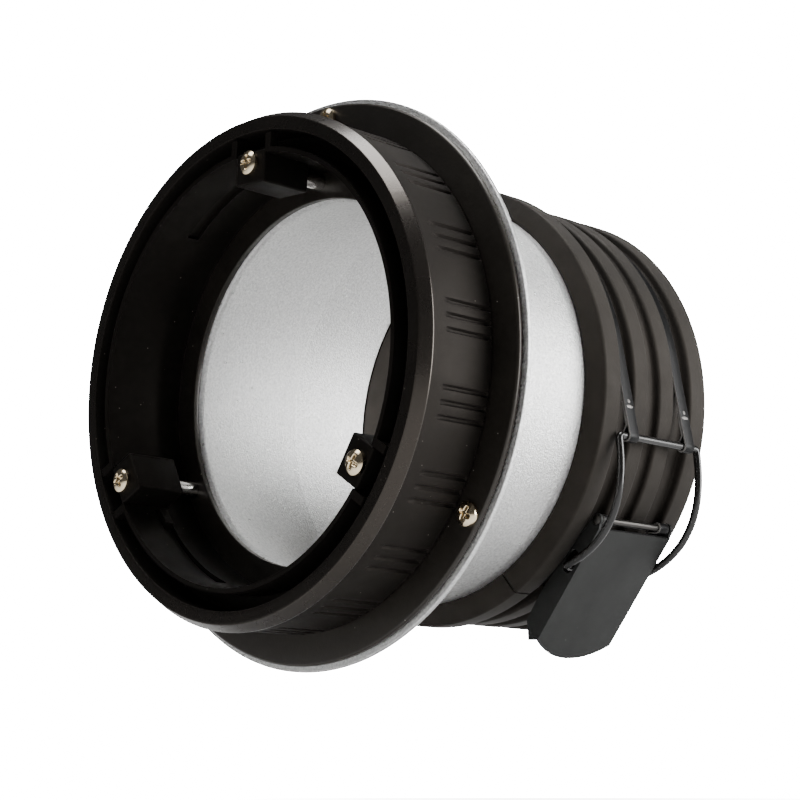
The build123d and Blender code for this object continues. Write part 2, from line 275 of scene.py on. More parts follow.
def divided(outline, longest):
    """A closed outline with its long sides cut up, keeping every point that it has."""
    closed = np.vstack([outline, outline[:1]])
    length = np.append(0, np.cumsum(np.linalg.norm(np.diff(closed, axis=0), axis=1)))
    extra = np.arange(0, length[-1], longest)
    extra = extra[np.abs(extra[:, None] - length[None, :]).min(1) > longest * 0.3]
    at = np.sort(np.append(length[:-1], extra))
    return np.stack([np.interp(at, length, closed[:, i]) for i in range(2)], -1)


def arc(radius, start, end, count):
    """Points (r cos t, r sin t) of a circle, from one angle to another in radians."""
    t = np.linspace(start, end, count)
    return radius * np.stack([np.cos(t), np.sin(t)], -1)


# ---------------------------------------------------------------- materials


def start_material(name):
    """A new material with an empty node tree, and the tree's nodes and links."""
    material = bpy.data.materials.new(name)
    material.use_nodes = True
    material.node_tree.nodes.clear()
    return material, material.node_tree.nodes, material.node_tree.links


def coated_material(name, colour, dust_colour, roughness, grain_size, grain_height, dust, coat,
                    specular, shine_tint):
    """Black paint or moulded plastic: cloudy colour, rare pale dust, uneven gloss that is smoother
    and stronger where the piece's "polished" attribute is 1, and a fine grain.
    Noise scales are per metre, so a grain of g metres is a scale of 1 / g."""
    material, nodes, links = start_material(name)
    output = nodes.new("ShaderNodeOutputMaterial")
    output.label = "Finished surface"
    surface = nodes.new("ShaderNodeBsdfPrincipled")
    surface.label = "Black coating"
    surface.inputs["Coat Weight"].default_value = coat
    surface.inputs["Coat Roughness"].default_value = 0.16
    surface.inputs["IOR"].default_value = 1.5
    surface.inputs["Specular Tint"].default_value = (*shine_tint, 1)
    where = nodes.new("ShaderNodeTexCoord")
    where.label = "Place on the piece"

    cloud = nodes.new("ShaderNodeTexNoise")
    cloud.label = "Cloudy tone"
    cloud.inputs["Scale"].default_value = 70
    cloud.inputs["Detail"].default_value = 4
    tone = nodes.new("ShaderNodeValToRGB")
    tone.label = "Dark to light tone"
    tone.color_ramp.elements[0].position = 0.3
    tone.color_ramp.elements[0].color = (*[c * 0.75 for c in colour], 1)
    tone.color_ramp.elements[1].position = 0.72
    tone.color_ramp.elements[1].color = (*[c * 1.25 for c in colour], 1)
    specks = nodes.new("ShaderNodeTexVoronoi")
    specks.label = "Dust cells"
    specks.inputs["Scale"].default_value = 260
    chosen = nodes.new("ShaderNodeMapRange")
    chosen.label = "Only the middles of cells"
    chosen.inputs["From Min"].default_value = 0.05
    chosen.inputs["From Max"].default_value = 0.02
    patch = nodes.new("ShaderNodeMath")
    patch.label = "Dust amount"
    patch.operation = "MULTIPLY"
    patch.inputs[1].default_value = dust
    dusted = nodes.new("ShaderNodeMix")
    dusted.label = "Dust on the coating"
    dusted.data_type = "RGBA"
    dusted.inputs["B"].default_value = (*dust_colour, 1)

    smear = nodes.new("ShaderNodeTexNoise")
    smear.label = "Handling marks"
    smear.inputs["Scale"].default_value = 160
    smear.inputs["Detail"].default_value = 5
    gloss = nodes.new("ShaderNodeMapRange")
    gloss.label = "Uneven gloss"
    gloss.inputs["To Min"].default_value = roughness - 0.07
    gloss.inputs["To Max"].default_value = roughness + 0.09
    polish = nodes.new("ShaderNodeAttribute")
    polish.label = "Polished places"
    polish.attribute_name = "polished"
    smoother = nodes.new("ShaderNodeMapRange")
    smoother.label = "Smoother where polished"
    smoother.inputs["To Min"].default_value = 1.0
    smoother.inputs["To Max"].default_value = 0.45
    evened_gloss = nodes.new("ShaderNodeMath")
    evened_gloss.label = "Gloss over the piece"
    evened_gloss.operation = "MULTIPLY"
    shine = nodes.new("ShaderNodeMapRange")
    shine.label = "Stronger where polished"
    shine.inputs["To Min"].default_value = specular
    shine.inputs["To Max"].default_value = specular + 0.34

    grain = nodes.new("ShaderNodeTexNoise")
    grain.label = "Fine grain"
    grain.inputs["Scale"].default_value = 1 / grain_size
    grain.inputs["Detail"].default_value = 2
    relief = nodes.new("ShaderNodeBump")
    relief.label = "Grain relief"
    relief.inputs["Strength"].default_value = 0.6
    relief.inputs["Distance"].default_value = grain_height

    colour_frame = nodes.new("NodeFrame")
    colour_frame.label = "Colour"
    gloss_frame = nodes.new("NodeFrame")
    gloss_frame.label = "Gloss"
    relief_frame = nodes.new("NodeFrame")
    relief_frame.label = "Relief"
    for box, height, members in (
            (colour_frame, 400, (cloud, tone, specks, chosen, patch, dusted)),
            (gloss_frame, 0, (smear, gloss, polish, smoother, evened_gloss, shine)),
            (relief_frame, -350, (grain, relief))):
        for column, node in enumerate(members):
            node.parent = box
            node.location = (210 * column - 1300, height)
    where.location, surface.location, output.location = (-1560, 0), (60, 200), (360, 200)

    links.new(where.outputs["Object"], cloud.inputs["Vector"])
    links.new(where.outputs["Object"], specks.inputs["Vector"])
    links.new(where.outputs["Object"], smear.inputs["Vector"])
    links.new(where.outputs["Object"], grain.inputs["Vector"])
    links.new(cloud.outputs["Fac"], tone.inputs["Fac"])
    links.new(specks.outputs["Distance"], chosen.inputs["Value"])
    links.new(chosen.outputs["Result"], patch.inputs[0])
    links.new(patch.outputs["Value"], dusted.inputs["Factor"])
    links.new(tone.outputs["Color"], dusted.inputs["A"])
    links.new(dusted.outputs["Result"], surface.inputs["Base Color"])
    links.new(smear.outputs["Fac"], gloss.inputs["Value"])
    links.new(gloss.outputs["Result"], evened_gloss.inputs[0])
    links.new(polish.outputs["Fac"], smoother.inputs["Value"])
    links.new(smoother.outputs["Result"], evened_gloss.inputs[1])
    links.new(evened_gloss.outputs["Value"], surface.inputs["Roughness"])
    links.new(polish.outputs["Fac"], shine.inputs["Value"])
    links.new(shine.outputs["Result"], surface.inputs["Specular IOR Level"])
    links.new(grain.outputs["Fac"], relief.inputs["Height"])
    links.new(relief.outputs["Normal"], surface.inputs["Normal"])
    links.new(surface.outputs["BSDF"], output.inputs["Surface"])
    return material


def metal_material(name, colour, roughness, pebble_size, pebble_height, spread):
    """Bare metal: patchy brightness, uneven gloss, and two sizes of pebble added together."""
    material, nodes, links = start_material(name)
    output = nodes.new("ShaderNodeOutputMaterial")
    output.label = "Finished surface"
    surface = nodes.new("ShaderNodeBsdfPrincipled")
    surface.label = "Bare metal"
    surface.inputs["Metallic"].default_value = 1.0
    where = nodes.new("ShaderNodeTexCoord")
    where.label = "Place on the piece"

    patches = nodes.new("ShaderNodeTexNoise")
    patches.label = "Patchy brightness"
    patches.inputs["Scale"].default_value = 1500
    patches.inputs["Detail"].default_value = 4
    tone = nodes.new("ShaderNodeValToRGB")
    tone.label = "Dull to bright metal"
    tone.color_ramp.elements[0].position = 0.25
    tone.color_ramp.elements[0].color = (*[c * (1 - spread) for c in colour], 1)
    tone.color_ramp.elements[1].position = 0.75
    tone.color_ramp.elements[1].color = (*[min(1, c * (1 + spread)) for c in colour], 1)

    haze = nodes.new("ShaderNodeTexNoise")
    haze.label = "Haze"
    haze.inputs["Scale"].default_value = 600
    gloss = nodes.new("ShaderNodeMapRange")
    gloss.label = "Uneven gloss"
    gloss.inputs["To Min"].default_value = max(0.02, roughness - 0.08)
    gloss.inputs["To Max"].default_value = roughness + 0.08

    coarse = nodes.new("ShaderNodeTexNoise")
    coarse.label = "Coarse pebble"
    coarse.inputs["Scale"].default_value = 1 / pebble_size
    coarse.inputs["Detail"].default_value = 1
    fine = nodes.new("ShaderNodeTexNoise")
    fine.label = "Fine pebble"
    fine.inputs["Scale"].default_value = 2.6 / pebble_size
    both = nodes.new("ShaderNodeMath")
    both.label = "Both pebbles"
    both.operation = "ADD"
    relief = nodes.new("ShaderNodeBump")
    relief.label = "Pebbled relief"
    relief.inputs["Strength"].default_value = 0.7
    relief.inputs["Distance"].default_value = pebble_height

    colour_frame = nodes.new("NodeFrame")
    colour_frame.label = "Colour"
    gloss_frame = nodes.new("NodeFrame")
    gloss_frame.label = "Gloss"
    relief_frame = nodes.new("NodeFrame")
    relief_frame.label = "Relief"
    for box, height, members in (
            (colour_frame, 400, (patches, tone)),
            (gloss_frame, 50, (haze, gloss)),
            (relief_frame, -300, (coarse, fine, both, relief))):
        for column, node in enumerate(members):
            node.parent = box
            node.location = (210 * column - 1100, height)
    where.location, surface.location, output.location = (-1340, 0), (0, 200), (300, 200)

    links.new(where.outputs["Object"], patches.inputs["Vector"])
    links.new(where.outputs["Object"], haze.inputs["Vector"])
    links.new(where.outputs["Object"], coarse.inputs["Vector"])
    links.new(where.outputs["Object"], fine.inputs["Vector"])
    links.new(patches.outputs["Fac"], tone.inputs["Fac"])
    links.new(tone.outputs["Color"], surface.inputs["Base Color"])
    links.new(haze.outputs["Fac"], gloss.inputs["Value"])
    links.new(gloss.outputs["Result"], surface.inputs["Roughness"])
    links.new(coarse.outputs["Fac"], both.inputs[0])
    links.new(fine.outputs["Fac"], both.inputs[1])
    links.new(both.outputs["Value"], relief.inputs["Height"])
    links.new(relief.outputs["Normal"], surface.inputs["Normal"])
    links.new(surface.outputs["BSDF"], output.inputs["Surface"])
    return material


def rubber_material(name, colour):
    """Moulded rubber: warm mottled black, a dry bloom that lightens it, and a soft skin."""
    material, nodes, links = start_material(name)
    output = nodes.new("ShaderNodeOutputMaterial")
    output.label = "Finished surface"
    surface = nodes.new("ShaderNodeBsdfPrincipled")
    surface.label = "Rubber"
    surface.inputs["Specular IOR Level"].default_value = 0.22
    surface.inputs["Specular Tint"].default_value = (1.0, 0.9, 0.8, 1)
    surface.inputs["Sheen Weight"].default_value = 0.04
    surface.inputs["Sheen Roughness"].default_value = 0.5
    where = nodes.new("ShaderNodeTexCoord")
    where.label = "Place on the piece"

    mottle = nodes.new("ShaderNodeTexNoise")
    mottle.label = "Mottle"
    mottle.inputs["Scale"].default_value = 90
    mottle.inputs["Detail"].default_value = 5
    tone = nodes.new("ShaderNodeValToRGB")
    tone.label = "Rubber tone"
    tone.color_ramp.elements[0].position = 0.3
    tone.color_ramp.elements[0].color = (*[c * 0.72 for c in colour], 1)
    tone.color_ramp.elements[1].position = 0.75
    tone.color_ramp.elements[1].color = (*[c * 1.3 for c in colour], 1)
    bloom = nodes.new("ShaderNodeTexNoise")
    bloom.label = "Dry bloom"
    bloom.inputs["Scale"].default_value = 28
    bloom.inputs["Detail"].default_value = 3
    share = nodes.new("ShaderNodeMapRange")
    share.label = "Bloom amount"
    share.inputs["From Min"].default_value = 0.5
    share.inputs["From Max"].default_value = 0.75
    share.inputs["To Max"].default_value = 0.35
    bloomed = nodes.new("ShaderNodeMix")
    bloomed.label = "Bloom on the rubber"
    bloomed.data_type = "RGBA"
    bloomed.inputs["B"].default_value = (0.030, 0.026, 0.022, 1)

    polish = nodes.new("ShaderNodeTexNoise")
    polish.label = "Rubbed places"
    polish.inputs["Scale"].default_value = 140
    gloss = nodes.new("ShaderNodeMapRange")
    gloss.label = "Uneven gloss"
    gloss.inputs["To Min"].default_value = 0.58
    gloss.inputs["To Max"].default_value = 0.78

    skin = nodes.new("ShaderNodeTexNoise")
    skin.label = "Moulded skin"
    skin.inputs["Scale"].default_value = 2200
    relief = nodes.new("ShaderNodeBump")
    relief.label = "Skin relief"
    relief.inputs["Strength"].default_value = 0.4
    relief.inputs["Distance"].default_value = 0.00006

    colour_frame = nodes.new("NodeFrame")
    colour_frame.label = "Colour"
    gloss_frame = nodes.new("NodeFrame")
    gloss_frame.label = "Gloss"
    relief_frame = nodes.new("NodeFrame")
    relief_frame.label = "Relief"
    for box, height, members in (
            (colour_frame, 400, (mottle, tone, bloom, share, bloomed)),
            (gloss_frame, 0, (polish, gloss)),
            (relief_frame, -350, (skin, relief))):
        for column, node in enumerate(members):
            node.parent = box
            node.location = (210 * column - 1200, height)
    where.location, surface.location, output.location = (-1460, 0), (0, 200), (300, 200)

    links.new(where.outputs["Object"], mottle.inputs["Vector"])
    links.new(where.outputs["Object"], bloom.inputs["Vector"])
    links.new(where.outputs["Object"], polish.inputs["Vector"])
    links.new(where.outputs["Object"], skin.inputs["Vector"])
    links.new(mottle.outputs["Fac"], tone.inputs["Fac"])
    links.new(bloom.outputs["Fac"], share.inputs["Value"])
    links.new(share.outputs["Result"], bloomed.inputs["Factor"])
    links.new(tone.outputs["Color"], bloomed.inputs["A"])
    links.new(bloomed.outputs["Result"], surface.inputs["Base Color"])
    links.new(polish.outputs["Fac"], gloss.inputs["Value"])
    links.new(gloss.outputs["Result"], surface.inputs["Roughness"])
    links.new(skin.outputs["Fac"], relief.inputs["Height"])
    links.new(relief.outputs["Normal"], surface.inputs["Normal"])
    links.new(surface.outputs["BSDF"], output.inputs["Surface"])
    return material


def strap_material(name, colour, bare):
    """Blackened steel strip with a painted highlight along its edges and plain metal on its weld
    spots, where the piece's attribute for both is 1, and lengthwise rolling marks."""
    material, nodes, links = start_material(name)
    output = nodes.new("ShaderNodeOutputMaterial")
    output.label = "Finished surface"
    surface = nodes.new("ShaderNodeBsdfPrincipled")
    surface.label = "Strip steel"
    surface.inputs["Metallic"].default_value = 0.2
    surface.inputs["Specular IOR Level"].default_value = 0.15
    where = nodes.new("ShaderNodeTexCoord")
    where.label = "Place on the piece"

    # The attribute read here is 1 on the strip's edges, where the lighter colour is a painted
    # highlight, and on the weld spots, where it is the welds' plain metal.
    edge = nodes.new("ShaderNodeAttribute")
    edge.label = "Painted edge highlight and weld spots"
    edge.attribute_name = "bare"
    rolling = nodes.new("ShaderNodeTexNoise")
    rolling.label = "Rolling marks"
    rolling.inputs["Scale"].default_value = 900
    tone = nodes.new("ShaderNodeValToRGB")
    tone.label = "Blackened tone"
    tone.color_ramp.elements[0].color = (*[c * 0.7 for c in colour], 1)
    tone.color_ramp.elements[1].color = (*[c * 1.4 for c in colour], 1)
    # Lighter colour over the black: a painted highlight on the edges, plain metal on the welds.
    highlight_and_weld_mix = nodes.new("ShaderNodeMix")
    highlight_and_weld_mix.label = "Painted edge highlight and welds over black"
    highlight_and_weld_mix.data_type = "RGBA"
    highlight_and_weld_mix.inputs["B"].default_value = (*bare, 1)
    gloss = nodes.new("ShaderNodeMapRange")
    gloss.label = "Uneven gloss"
    gloss.inputs["To Min"].default_value = 0.3
    gloss.inputs["To Max"].default_value = 0.48
    relief = nodes.new("ShaderNodeBump")
    relief.label = "Rolled relief"
    relief.inputs["Strength"].default_value = 0.3
    relief.inputs["Distance"].default_value = 0.00003

    colour_frame = nodes.new("NodeFrame")
    colour_frame.label = "Colour"
    finish_frame = nodes.new("NodeFrame")
    finish_frame.label = "Gloss and relief"
    for box, height, members in (
            (colour_frame, 300, (rolling, tone, edge, highlight_and_weld_mix)),
            (finish_frame, -100, (gloss, relief))):
        for column, node in enumerate(members):
            node.parent = box
            node.location = (210 * column - 1000, height)
    where.location, surface.location, output.location = (-1240, 0), (0, 200), (300, 200)

    links.new(where.outputs["Object"], rolling.inputs["Vector"])
    links.new(rolling.outputs["Fac"], tone.inputs["Fac"])
    links.new(tone.outputs["Color"], highlight_and_weld_mix.inputs["A"])
    links.new(edge.outputs["Fac"], highlight_and_weld_mix.inputs["Factor"])
    links.new(highlight_and_weld_mix.outputs["Result"], surface.inputs["Base Color"])
    links.new(rolling.outputs["Fac"], gloss.inputs["Value"])
    links.new(gloss.outputs["Result"], surface.inputs["Roughness"])
    links.new(rolling.outputs["Fac"], relief.inputs["Height"])
    links.new(relief.outputs["Normal"], surface.inputs["Normal"])
    links.new(surface.outputs["BSDF"], output.inputs["Surface"])
    return material


def floor_material(name, colour):
    """Pale matte paper with a faint mottle."""
    material, nodes, links = start_material(name)
    output = nodes.new("ShaderNodeOutputMaterial")
    output.label = "Finished surface"
    surface = nodes.new("ShaderNodeBsdfPrincipled")
    surface.label = "Paper"
    surface.inputs["Roughness"].default_value = 0.9
    where = nodes.new("ShaderNodeTexCoord")
    where.label = "Place on the floor"

    mottle = nodes.new("ShaderNodeTexNoise")
    mottle.label = "Faint mottle"
    mottle.inputs["Scale"].default_value = 6
    tone = nodes.new("ShaderNodeValToRGB")
    tone.label = "Paper tone"
    tone.color_ramp.elements[0].color = (*[c * 0.98 for c in colour], 1)
    tone.color_ramp.elements[1].color = (*colour, 1)
    distance = nodes.new("ShaderNodeVectorMath")
    distance.label = "Distance from the part"
    distance.operation = "LENGTH"
    fade = nodes.new("ShaderNodeMapRange")
    fade.label = "Paper to white"
    fade.interpolation_type = "SMOOTHSTEP"
    fade.inputs["From Min"].default_value = 0.06
    fade.inputs["From Max"].default_value = 0.20
    ray = nodes.new("ShaderNodeLightPath")
    ray.label = "Only where it is seen"
    seen = nodes.new("ShaderNodeMath")
    seen.label = "Fade where it is seen"
    seen.operation = "MULTIPLY"
    white = nodes.new("ShaderNodeEmission")
    white.label = "White paper far off"
    white.inputs["Strength"].default_value = 30.0
    blended = nodes.new("ShaderNodeMixShader")
    blended.label = "Near paper, far white"

    colour_frame = nodes.new("NodeFrame")
    colour_frame.label = "Colour"
    fade_frame = nodes.new("NodeFrame")
    fade_frame.label = "Fade"
    for box, height, members in (
            (colour_frame, 200, (mottle, tone)),
            (fade_frame, -150, (distance, fade, ray, seen, white))):
        for column, node in enumerate(members):
            node.parent = box
            node.location = (210 * column - 900, height)
    where.location, surface.location, output.location = (-1140, 200), (0, 200), (600, 200)
    blended.location = (320, 200)

    links.new(where.outputs["Object"], distance.inputs[0])
    links.new(distance.outputs["Value"], fade.inputs["Value"])
    links.new(fade.outputs["Result"], seen.inputs[0])
    links.new(ray.outputs["Is Camera Ray"], seen.inputs[1])
    links.new(seen.outputs["Value"], blended.inputs["Fac"])
    links.new(surface.outputs["BSDF"], blended.inputs[1])
    links.new(white.outputs["Emission"], blended.inputs[2])
    links.new(where.outputs["Object"], mottle.inputs["Vector"])
    links.new(mottle.outputs["Fac"], tone.inputs["Fac"])
    links.new(tone.outputs["Color"], surface.inputs["Base Color"])
    links.new(blended.outputs["Shader"], output.inputs["Surface"])
    return material


def kept(make, name, **values):
    """A material made once and shared by every piece that has its finish."""
    return bpy.data.materials.get(name) or make(name, **values)


def plastic(finish, name, roughness, specular):
    """The adapter's black plastic, with a gloss of its own."""
    return kept(
        coated_material, name, colour=finish.plastic_colour, dust_colour=(0.35, 0.32, 0.28),
        roughness=roughness, grain_size=0.0005, grain_height=0.00002, dust=0.3, coat=0.0,
        specular=specular, shine_tint=(1.0, 0.88, 0.77))


def inner_plastic(finish):
    """The duller plastic of the sleeve and the lugs."""
    return plastic(finish, "matte_inner_plastic", roughness=0.5, specular=0.07)


def nickel(finish):
    """The warm plating of all the screws."""
    return kept(
        metal_material, "warm_nickel", colour=finish.screw_colour, roughness=0.16,
        pebble_size=0.0012, pebble_height=0.00001, spread=0.1)


def finish_with(piece, material, body):
    """Gives a piece its material and slot, and seats a new piece on the body that carries it."""
    piece.data.materials.clear()
    piece.data.materials.append(material)
    if piece.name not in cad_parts:
        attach(piece, body)


# ---------------------------------------------------------------- settings


class AdapterSizes(PropertyGroup):
    """Sizes that a user may change"""

    grip_groups: IntProperty(
        name="Grip groups", description="Groups of three grooves round the lock ring",
        default=20, min=4, max=28)
    grip_depth: FloatProperty(
        name="Grip depth", description="Depth of a groove in the lock ring's wall, in millimetres",
        default=0.7, min=0.1, max=1.5, unit="NONE")
    rib_round: FloatProperty(
        name="Rib rounding", description="Radius of the rubber ribs' edges, in millimetres",
        default=0.9, min=0.2, max=1.2, unit="NONE")
    wire_radius: FloatProperty(
        name="Bail wire radius", description="Radius of the bail's round wire, in millimetres",
        default=WIRE_R, min=0.6, max=0.97, unit="NONE")


class AdapterFinish(PropertyGroup):
    """Base colours of the finishes"""

    plastic_colour: FloatVectorProperty(
        name="Plastic", description="Lock ring, sleeve and lugs", subtype="COLOR",
        default=(0.0058, 0.0050, 0.0044), min=0, max=1)
    plate_colour: FloatVectorProperty(
        name="Plate", description="Painted flange plate", subtype="COLOR",
        default=(0.0100, 0.0085, 0.0070), min=0, max=1)
    aluminium_colour: FloatVectorProperty(
        name="Aluminium", description="Spun tube and disc", subtype="COLOR",
        default=(0.74, 0.74, 0.73), min=0, max=1)
    rubber_colour: FloatVectorProperty(
        name="Rubber", description="Clamp collar", subtype="COLOR",
        default=(0.0115, 0.0098, 0.0082), min=0, max=1)
    lever_colour: FloatVectorProperty(
        name="Lever", description="Painted latch lever", subtype="COLOR",
        default=(0.0125, 0.0130, 0.0124), min=0, max=1)
    screw_colour: FloatVectorProperty(
        name="Screws", description="Plated screws", subtype="COLOR",
        default=(0.86, 0.72, 0.50), min=0, max=1)


# ---------------------------------------------------------------- pieces


def ring_angles(grooves, wall_r):
    """Angles for the turned wall, in radians: nine across each groove, and some beyond it that are
    left out where another groove's own angles are near."""
    half_span, beyond, least_gap = 0.85, [1.55, 4.5, 7.0, 9.5], 0.008
    near = (grooves[:, None] + np.linspace(-half_span, half_span, 9)[None, :] / wall_r).ravel()
    between = (grooves[:, None] + np.radians(beyond)[None, :]).ravel()
    gap = np.abs(wrapped(between[:, None] - near[None, :])).min(1)
    angles = np.append(near, between[gap > least_gap])
    return np.sort(np.unique(np.round(angles % (2 * np.pi), 5)))


class ADAPTER_OT_lock_ring(Operator):
    """Bevelled lock ring: a turned outline whose wall is drawn in at the grip grooves. At angle t and
    station y the radius falls by the depth times a soft window over each groove's width, times a
    soft window over its length. Three tabs reach inwards from the ring's step"""

    bl_idname = "adapter.lock_ring"
    bl_label = "Lock Ring"

    def execute(self, context):
        sizes, finish = context.scene.adapter_sizes, context.scene.adapter_finish
        y = RING_FACE_Y
        wall_r, opening_r = 61.5, 57.3
        outline = divided(rounded([
            (opening_r, y, 0.2), (60.5, y, 0.2), (62.1, y + 3.0, 0.12), (62.1, y + 3.3, 0.08),
            (wall_r, y + 3.7, 0.08), (wall_r, y + 22.2, 0.3), (58.6, y + 22.2, 0.2),
            (58.6, y + 13.6, 0.2), (53.16, y + 13.6, 0.2), (53.16, y + 9.0, 0.2),
            (opening_r, y + 9.0, 0.2),
        ], steps=4), longest=1.3)
        first_group, groove_step = 3.3, 3.1
        group_at = first_group + 360 / sizes.grip_groups * np.arange(sizes.grip_groups)
        grooves = np.radians((group_at[:, None] + [-groove_step, 0, groove_step]).ravel())
        angles = ring_angles(grooves, wall_r)
        grid = revolved(outline, angles)
        groove_half_width, groove_half_length, groove_middle = 0.45, 6.7, 15.3
        from_groove = np.abs(wrapped(angles[:, None] - grooves[None, :])).min(1) * wall_r
        across = window(from_groove, groove_half_width, 0.07)
        station = outline[:, 1] - y
        along = window(np.abs(station - groove_middle), groove_half_length, 0.18)
        skin, wall_from = 0.12, 5
        on_wall = np.clip((outline[:, 0] - wall_r + skin) / skin, 0, 1) * (station > wall_from)
        drop = sizes.grip_depth * across[:, None] * (along * on_wall)[None, :]
        scale = 1 - drop / outline[None, :, 0]
        grid[..., 0] *= scale
        grid[..., 2] *= scale
        shells = [shell(grid)]
        tab = rounded([(50.9, y + 10.0, 0.3), (53.8, y + 10.0, 0.1), (53.8, y + 12.6, 0.1),
                       (50.9, y + 12.6, 0.3)])
        tab_start, tab_end = 94, 99
        for third in range(3):
            turn = np.radians(np.linspace(tab_start, tab_end, 9) + 120 * third)
            shells.append(shell(revolved(tab, turn), capped=True))
        ring = make_piece("grip_ring", shells, smooth_angle=28)
        polished_to = 3.6
        face_and_bevel = (station < polished_to) & (outline[:, 0] > opening_r + 0.1)
        share = np.zeros(len(ring.data.vertices), np.float32)
        share[:len(angles) * len(outline)] = np.tile(face_and_bevel, len(angles))
        polished = ring.data.attributes.new("polished", "FLOAT", "POINT")
        polished.data.foreach_set("value", share)
        satin = plastic(finish, "satin_grip_plastic", roughness=0.6, specular=0.16)
        finish_with(ring, satin, "ring")
        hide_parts("lock_ring")
        return {"FINISHED"}


class ADAPTER_OT_sleeve(Operator):
    """Bayonet sleeve: keeps its own mesh and gets a matte plastic"""

    bl_idname = "adapter.sleeve"
    bl_label = "Bayonet Sleeve"

    def execute(self, context):
        finish = context.scene.adapter_finish
        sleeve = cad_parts["bayonet_sleeve"]
        finish_with(sleeve, inner_plastic(finish), "base")
        return {"FINISHED"}


class ADAPTER_OT_lugs(Operator):
    """Bayonet lugs with their spacers and screws: rounded blocks, turned posts and pan heads"""

    bl_idname = "adapter.lugs"
    bl_label = "Lugs"

    def execute(self, context):
        finish = context.scene.adapter_finish
        inner_r, outer_r, width, length = 44.6, 52.6, 10.4, 14.0
        lug = block(outer_r - inner_r, width, length, radius=0.55)
        bore_r, post_r = 1.62, 2.1
        front, rear = LUG_FACE_Y + length, PLATE_FRONT_Y
        post = revolved(rounded([(bore_r, front, 0.05), (post_r, front, 0.12), (post_r, rear, 0.12),
                                 (bore_r, rear, 0.05)]), full_turn(48))
        steel = kept(
            metal_material, "bright_turned_steel", colour=(0.62, 0.60, 0.57), roughness=0.2,
            pebble_size=0.002, pebble_height=0.00001, spread=0.12)
        screw = pan_screw(head_r=2.9, head_height=1.8, shank_r=1.5, length=25.8)
        screws = []
        for place_name, angle in zip(("top", "left", "right"), LUG_ANGLES):
            stood = at_angle(lug, angle, (outer_r + inner_r) / 2, LUG_FACE_Y)
            piece = make_piece("lug_block_" + place_name, [stood])
            finish_with(piece, inner_plastic(finish), "base")
            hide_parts("lug_" + place_name)
            moved = post.copy()
            moved[..., 0] += LUG_SCREW_R * math.cos(math.radians(angle))
            moved[..., 2] += LUG_SCREW_R * math.sin(math.radians(angle))
            piece = make_piece("post_" + place_name, [shell(moved)])
            finish_with(piece, steel, "base")
            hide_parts("spacer_" + place_name)
            screws.append(at_angle(screw, angle, LUG_SCREW_R, LUG_FACE_Y))
        piece = make_piece("lug_pan_screws", screws)
        finish_with(piece, nickel(finish), "base")
        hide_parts("lug_screws")
        return {"FINISHED"}


class ADAPTER_OT_flange(Operator):
    """Flange plate and its screws: a turned outline with a rounded rim, and pan heads"""

    bl_idname = "adapter.flange"
    bl_label = "Flange Plate"

    def execute(self, context):
        finish = context.scene.adapter_finish
        front, rear = PLATE_FRONT_Y, DISC_FRONT_Y
        plate_r, hole_r = 69.0, 45.4
        outline = rounded([(plate_r, front, 0.6), (plate_r, rear, 0.6), (hole_r, rear, 0.2),
                           (hole_r, front, 0.2)])
        plate = make_piece("flange_disc", [shell(revolved(outline, full_turn(288)))])
        paint = kept(
            coated_material, "textured_black_paint", colour=finish.plate_colour,
            dust_colour=(0.45, 0.42, 0.38), roughness=0.42, grain_size=0.0006, grain_height=0.00005,
            dust=0.6, coat=0.3, specular=0.34, shine_tint=(1.0, 0.9, 0.8))
        finish_with(plate, paint, "base")
        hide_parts("flange_plate")
        screw = pan_screw(head_r=2.8, head_height=1.8, shank_r=1.5, length=3.4)
        screws = make_piece("flange_pan_screws", [
            at_angle(screw, angle, FLANGE_SCREW_R, front) for angle in FLANGE_SCREW_ANGLES])
        finish_with(screws, nickel(finish), "base")
        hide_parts("flange_screws")
        return {"FINISHED"}


class ADAPTER_OT_spun_tube(Operator):
    """Spun tube: disc, rounded mouth, cone and cylinder in one sheet, turned about the axis"""

    bl_idname = "adapter.spun_tube"
    bl_label = "Spun Tube"

    def execute(self, context):
        finish = context.scene.adapter_finish
        front, cone_y, end = DISC_FRONT_Y, RING_FACE_Y + 62.0, TUBE_END_Y
        disc_r, mouth_r, sheet = 70.37, 44.7, 1.2
        inner_r, rear = TUBE_R - sheet, front + sheet
        outline = divided(rounded([
            (disc_r, front, 0.3), (mouth_r, front, 1.8), (inner_r, cone_y, 4.0), (inner_r, end, 0.3),
            (TUBE_R, end, 0.3), (TUBE_R, cone_y, 4.0), (mouth_r + 1.4, rear, 0.7), (disc_r, rear, 0.3),
        ], steps=8), longest=6.0)
        tube = make_piece("spun_body", [shell(revolved(outline, full_turn(288)))])
        metal = kept(
            metal_material, "pebbled_aluminium", colour=finish.aluminium_colour, roughness=0.31,
            pebble_size=0.0005, pebble_height=0.0002, spread=0.24)
        finish_with(tube, metal, "base")
        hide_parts("spun_tube")
        return {"FINISHED"}


